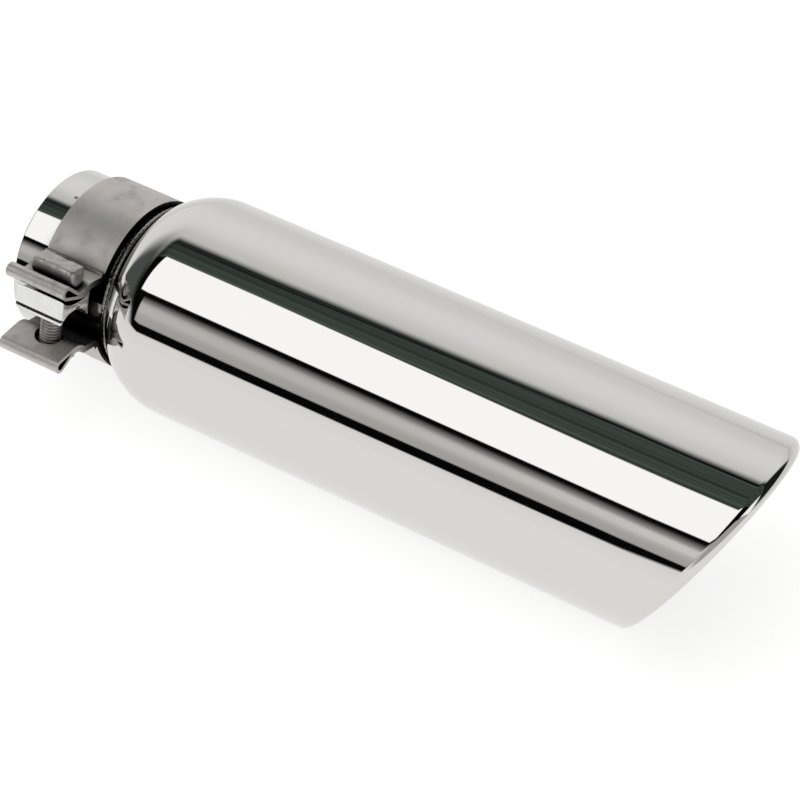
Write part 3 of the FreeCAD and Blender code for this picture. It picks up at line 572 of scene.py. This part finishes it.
def makeShell(settings, material):
    radius, wall, roll = settings["radius"], settings["wall"], settings["roll"]
    shoulder, columns = settings["shoulder"], settings["columns"]
    slant = math.radians(settings["cut"])
    crest = Vector((math.cos(slant), 0, -math.sin(slant)))
    angles = [2 * math.pi * j / columns for j in range(columns)]
    outwards = [Vector((0, math.cos(a), math.sin(a))) for a in angles]
    arcHeight = radius - shoulder         # of the shoulder's centre, above the axis
    rise = settings["hole"] - arcHeight
    shoulderEnd = settings["root"] + math.sqrt(shoulder ** 2 - rise ** 2)
    mouth = radius - 2 * roll - settings["land"]

    def slantedRing(r, setback):
        # parallel to the outlet's plane, that far behind it
        middle = settings["outlet"] - setback / math.cos(slant)
        return [Vector((middle + r * d.z * math.tan(slant), r * d.y, r * d.z)) for d in outwards]

    def shoulderRings(arc, steps):
        profile = arcPoints((0, arcHeight), arc, math.asin(rise / arc), math.pi / 2, steps)
        return [[Vector((shoulderEnd - back, 0, 0)) + d * out for d in outwards]
                for back, out in profile]

    def rollRings(centres, r, inwards, steps):
        # from facing away from the roll's own tube to facing along the outlet's normal
        sides = [-d if inwards else d for d in outwards]
        return [[c + r * d.slerp(crest, i / steps) for c, d in zip(centres, sides)]
                for i in range(steps + 1)]

    outerCentres = slantedRing(radius - roll, roll)
    innerCentres = slantedRing(mouth + roll, roll)
    shoulderOut, shoulderIn = settings["shoulderSteps"]
    rollOut, rollIn = settings["rollSteps"]
    rings = shoulderRings(shoulder, shoulderOut)
    face = rollRings(outerCentres, roll, False, rollOut)
    shoulderTop, sideSteps = rings[-1], settings["sideSteps"]
    for i in range(1, sideSteps):
        rings.append([a.lerp(b, i / sideSteps) for a, b in zip(shoulderTop, face[0])])
    rings += face
    rings += reversed(rollRings(innerCentres, roll, True, rollOut))
    rings.append(slantedRing(mouth, settings["lipReturn"]))
    rings.append(slantedRing(mouth + wall, settings["lipReturn"]))
    rings += rollRings(innerCentres, roll - wall, True, rollIn)
    rings += reversed(rollRings(outerCentres, roll - wall, False, rollIn))
    rings += reversed(shoulderRings(shoulder - wall, shoulderIn))
    points = [p for ring in rings for p in ring]
    makePiece(
        "shell", "tip_body", material,
        points, ringFaces(len(rings), columns, looped=True), settings["crease"],
    )


# Bolt: bar head lying in the ear's trough, on a rolled thread

bolt = {
    "station": 33.0 * mm,
    "headStation": 33.5 * mm,
    "reach": 50.8 * mm,                   # from the tip's axis to the bolt's
    "turn": 21.5,                         # degrees that the clamp sits turned up
    "headLength": 23.4 * mm,
    "headRadius": 5.15 * mm,
    "seat": 20.0 * mm,                    # centre of the head's round underside
    "headTop": 4.6 * mm,
    "headRound": 2.3 * mm,
    "endRound": 2.4 * mm,
    "unevenness": 0.20 * mm,              # hammered top, in short waves and long ones
    "shortWave": (1.1 * mm, 1.3 * mm),
    "longWave": (2.7 * mm, 1.9 * mm),
    "evenBelow": 2.0 * mm,
    "threadOuter": 4.9 * mm,
    "threadInner": 4.05 * mm,
    "pitch": 1.5 * mm,
    "end": -22.4 * mm,
    "endInset": 0.2 * mm,                 # where the thread runs out
    "overlap": 1.0 * mm,                  # of the thread with the head
    "roundSteps": 20,
    "cornerSteps": 8,
    "topSteps": 14,
    "endSteps": 7,
    "lengthSteps": 22,
    "threadSides": 40,
    "stepsPerTurn": 8,
}


def clampPoint(settings, x, out, height):
    # from the clamp's own upright frame into the tip's
    cos, sin = math.cos(math.radians(settings["turn"])), math.sin(math.radians(settings["turn"]))
    return Vector((x, height * sin - out * cos, height * cos + out * sin))


def makeBolt(settings, material):
    radius, top, curve = settings["headRadius"], settings["headTop"], settings["headRound"]
    flat, corners, topSteps = radius - curve, settings["cornerSteps"], settings["topSteps"]
    outline = arcPoints((0, 0), radius, math.pi, 2 * math.pi, settings["roundSteps"])
    outline += arcPoints((flat, top - curve), curve, 0, math.pi / 2, corners)
    outline += [(flat * (1 - 2 * i / topSteps), top) for i in range(1, topSteps)]
    outline += arcPoints((-flat, top - curve), curve, math.pi / 2, math.pi, corners)

    half, end = settings["headLength"] / 2, settings["endRound"]
    endSteps, lengthSteps = settings["endSteps"], settings["lengthSteps"]
    quarter = [math.pi / 2 * i / endSteps for i in range(endSteps + 1)]
    start = [(end * (1 - math.cos(a)) - half, end * (1 - math.sin(a))) for a in quarter]
    stations = start + [
        (end - half + 2 * (half - end) * i / lengthSteps, 0.0) for i in range(1, lengthSteps)
    ] + [(-x, inset) for x, inset in reversed(start)]

    shortX, shortOut = settings["shortWave"]
    longX, longOut = settings["longWave"]
    points = []
    for x, inset in stations:
        shrink = 1 - inset / radius
        for out, up in outline:
            waves = math.sin(x / shortX) * math.sin(out / shortOut + 0.7)
            waves += 0.7 * math.sin(x / longX + out / longOut)
            reached = min(1.0, max(0.0, up / settings["evenBelow"]))
            points.append(clampPoint(
                settings, settings["headStation"] + x, settings["reach"] + out * shrink,
                settings["seat"] + up * shrink + settings["unevenness"] * waves * reached,
            ))
    faces = barFaces(len(stations), len(outline))

    sides, pitch = settings["threadSides"], settings["pitch"]
    inner, outer = settings["threadInner"], settings["threadOuter"]
    low, high = settings["end"], settings["seat"] - radius + settings["overlap"]
    rows = int((high - low) / pitch * settings["stepsPerTurn"]) + 1
    faces += barFaces(rows, sides, len(points))
    for i in range(rows):
        height = low + (high - low) * i / (rows - 1)
        for j in range(sides):
            angle = 2 * math.pi * j / sides
            phase = (height / pitch - j / sides) % 1.0
            ridge = min(1.0, max(0.0, 1.25 - 2.6 * abs(phase - 0.5)))
            r = min(inner + (outer - inner) * ridge, inner - settings["endInset"] + height - low)
            points.append(clampPoint(
                settings, settings["station"] + r * math.cos(angle),
                settings["reach"] + r * math.sin(angle), height,
            ))
    makePiece("bolt", "clamp_bolt", material, points, faces)


# Spacer: a short block on the bolt, hollowed for the ear's trough and arched underneath

spacer = {
    "ends": (22.2 * mm, 47.9 * mm),
    "inner": 45.0 * mm,                   # faces, from the tip's axis
    "outer": 64.3 * mm,
    "scoop": (54.5 * mm, 24.912 * mm, 14.7 * mm),   # out, height and radius
    "arch": (55.0 * mm, -4.5 * mm, 11.5 * mm),
    "groove": (4.3 * mm, 0.75 * mm),      # height, and half its width
    "grooveDepth": 1.3 * mm,
    "edge": 0.8 * mm,                     # tumbled edges
    "halfHeight": 5.0 * mm,
    "bore": 5.3 * mm,
    "drill": 60 * mm,
    "edgeSteps": 5,
    "arcSteps": 28,
    "crease": 35,
}


def boreThrough(piece, centre, axis, radius, length):
    # cuts a round hole through a piece's mesh
    turn = axis.to_track_quat("Z", "Y").to_matrix().to_4x4()
    form = bmesh.new()
    bmesh.ops.create_cone(
        form, cap_ends=True, segments=48, radius1=radius, radius2=radius, depth=length,
        matrix=Matrix.Translation(centre) @ turn,
    )
    drillMesh = bpy.data.meshes.new("drill")
    form.to_mesh(drillMesh)
    form.free()
    drill = bpy.data.objects.new("drill", drillMesh)
    bpy.context.scene.collection.objects.link(drill)
    cut = piece.modifiers.new("bore", "BOOLEAN")
    cut.operation, cut.solver, cut.object = "DIFFERENCE", "EXACT", drill
    bpy.context.view_layer.update()
    whole = piece.evaluated_get(bpy.context.evaluated_depsgraph_get())
    piece.data = bpy.data.meshes.new_from_object(whole)
    piece.modifiers.clear()
    bpy.data.objects.remove(drill)
    bpy.data.meshes.remove(drillMesh)


def makeSpacer(settings, material):
    inner, outer = settings["inner"], settings["outer"]

    def arc(circle, side, start, end):
        # side 1 is the circle's upper half and -1 its lower
        out, height, r = circle
        steps = settings["arcSteps"]
        places = [start + (end - start) * i / steps for i in range(steps + 1)]
        return [(o, height + side * math.sqrt(r ** 2 - (o - out) ** 2)) for o in places]

    groove, halfWidth = settings["groove"]
    bottom = outer - settings["grooveDepth"]
    outline = arc(settings["scoop"], -1, inner, outer) + [
        (outer, groove + halfWidth), (bottom, groove + halfWidth),
        (bottom, groove - halfWidth), (outer, groove - halfWidth),
    ] + arc(settings["arch"], 1, outer, inner)
    middleOut = (inner + outer) / 2
    middleUp = sum(height for out, height in outline) / len(outline)

    low, high = settings["ends"]
    edge, steps = settings["edge"], settings["edgeSteps"]
    quarter = [math.pi / 2 * (1 - i / steps) for i in range(steps + 1)]
    start = [(low + edge * (1 - math.sin(a)), edge * (1 - math.cos(a))) for a in quarter]
    stations = start + [(low + high - x, inset) for x, inset in reversed(start)]
    points = []
    for x, inset in stations:
        shrinkOut = 1 - inset / (outer - middleOut)
        shrinkUp = 1 - inset / settings["halfHeight"]
        for out, height in outline:
            points.append(clampPoint(
                bolt, x, middleOut + (out - middleOut) * shrinkOut,
                middleUp + (height - middleUp) * shrinkUp,
            ))
    piece = makePiece(
        "spacer", "spacer_block", material,
        points, barFaces(len(stations), len(outline)), settings["crease"],
    )
    foot = clampPoint(bolt, bolt["station"], bolt["reach"], 0.0)
    axis = clampPoint(bolt, bolt["station"], bolt["reach"], 1.0) - foot
    boreThrough(piece, foot, axis, settings["bore"], settings["drill"])
    piece.data.set_sharp_from_angle(angle=math.radians(settings["crease"]))


# Weld: a rippled bead in the corner between the neck and the shoulder

weld = {
    "foot": 37.75 * mm,                   # inner radius, on the neck
    "toe": 49.6 * mm,
    "height": 1.9 * mm,
    "back": 53.2 * mm,
    "hiddenFoot": 51.6 * mm,              # where the bead closes behind the shoulder's edge
    "ripple": 3.0 * mm,                   # spacing of the torch's ripples
    "rippleDepth": 0.22 * mm,
    "rippleBend": 0.35,
    "rippleSteps": 8,
    "rows": 10,
}


def makeWeld(settings, material):
    foot, height, rows = settings["foot"], settings["height"], settings["rows"]
    ripples = round(2 * math.pi * (foot + height) / settings["ripple"])
    columns = ripples * settings["rippleSteps"]
    angles = [2 * math.pi * j / columns for j in range(columns)]
    points = []
    for i in range(rows):
        across = i / (rows - 1)
        x = settings["toe"] + (settings["back"] - settings["toe"]) * across
        bend = math.sin(math.pi * across)
        bulge = min(1.0, 1.02 * math.sin(math.pi * (0.05 + 0.62 * across)))
        bulge *= 0.15 + 0.85 * across ** 0.45
        for j, angle in enumerate(angles):
            wave = (j / settings["rippleSteps"] + settings["rippleBend"] * bend) % 1.0
            dip = settings["rippleDepth"] * (1 - wave) ** 2 * bend ** 0.5
            r = foot + height * bulge - dip
            points.append((x, r * math.cos(angle), r * math.sin(angle)))
    for angle in angles:
        points.append((settings["hiddenFoot"], foot * math.cos(angle), foot * math.sin(angle)))
    makePiece(
        "weld", "neck_weld", material,
        points, ringFaces(rows + 1, columns, looped=True),
    )


makeCamera(cameraSettings)
makeStudio(studio)
makeFloor(table, cadBox[0].z)
makeLamp(topLamp)
print("camera, studio and table are set")

shellSteel = makePolishedStainless(polishedStainless, polishedStainless["shell"])
neckSteel = makePolishedStainless(polishedStainless, polishedStainless["neck"])
strip = makeMillStrip(millStrip)
spacerSteel = makeSatinSteel(satinSteel, satinSteel["spacer"])
boltSteel = makeSatinSteel(satinSteel, satinSteel["bolt"])
weldSteel = makeSatinSteel(satinSteel, satinSteel["weld"])
dressNode("inlet_neck", neckSteel)
dressNode("clamp_band", strip)
dressNode("clamp_nut", boltSteel)
print("finishes are on the neck, band and tapped bar")

makeShell(shell, shellSteel)
makeBolt(bolt, boltSteel)
makeSpacer(spacer, spacerSteel)
makeWeld(weld, weldSteel)
print("shell, bolt, spacer and weld are made")

bpy.context.scene.view_settings.view_transform = "Standard"
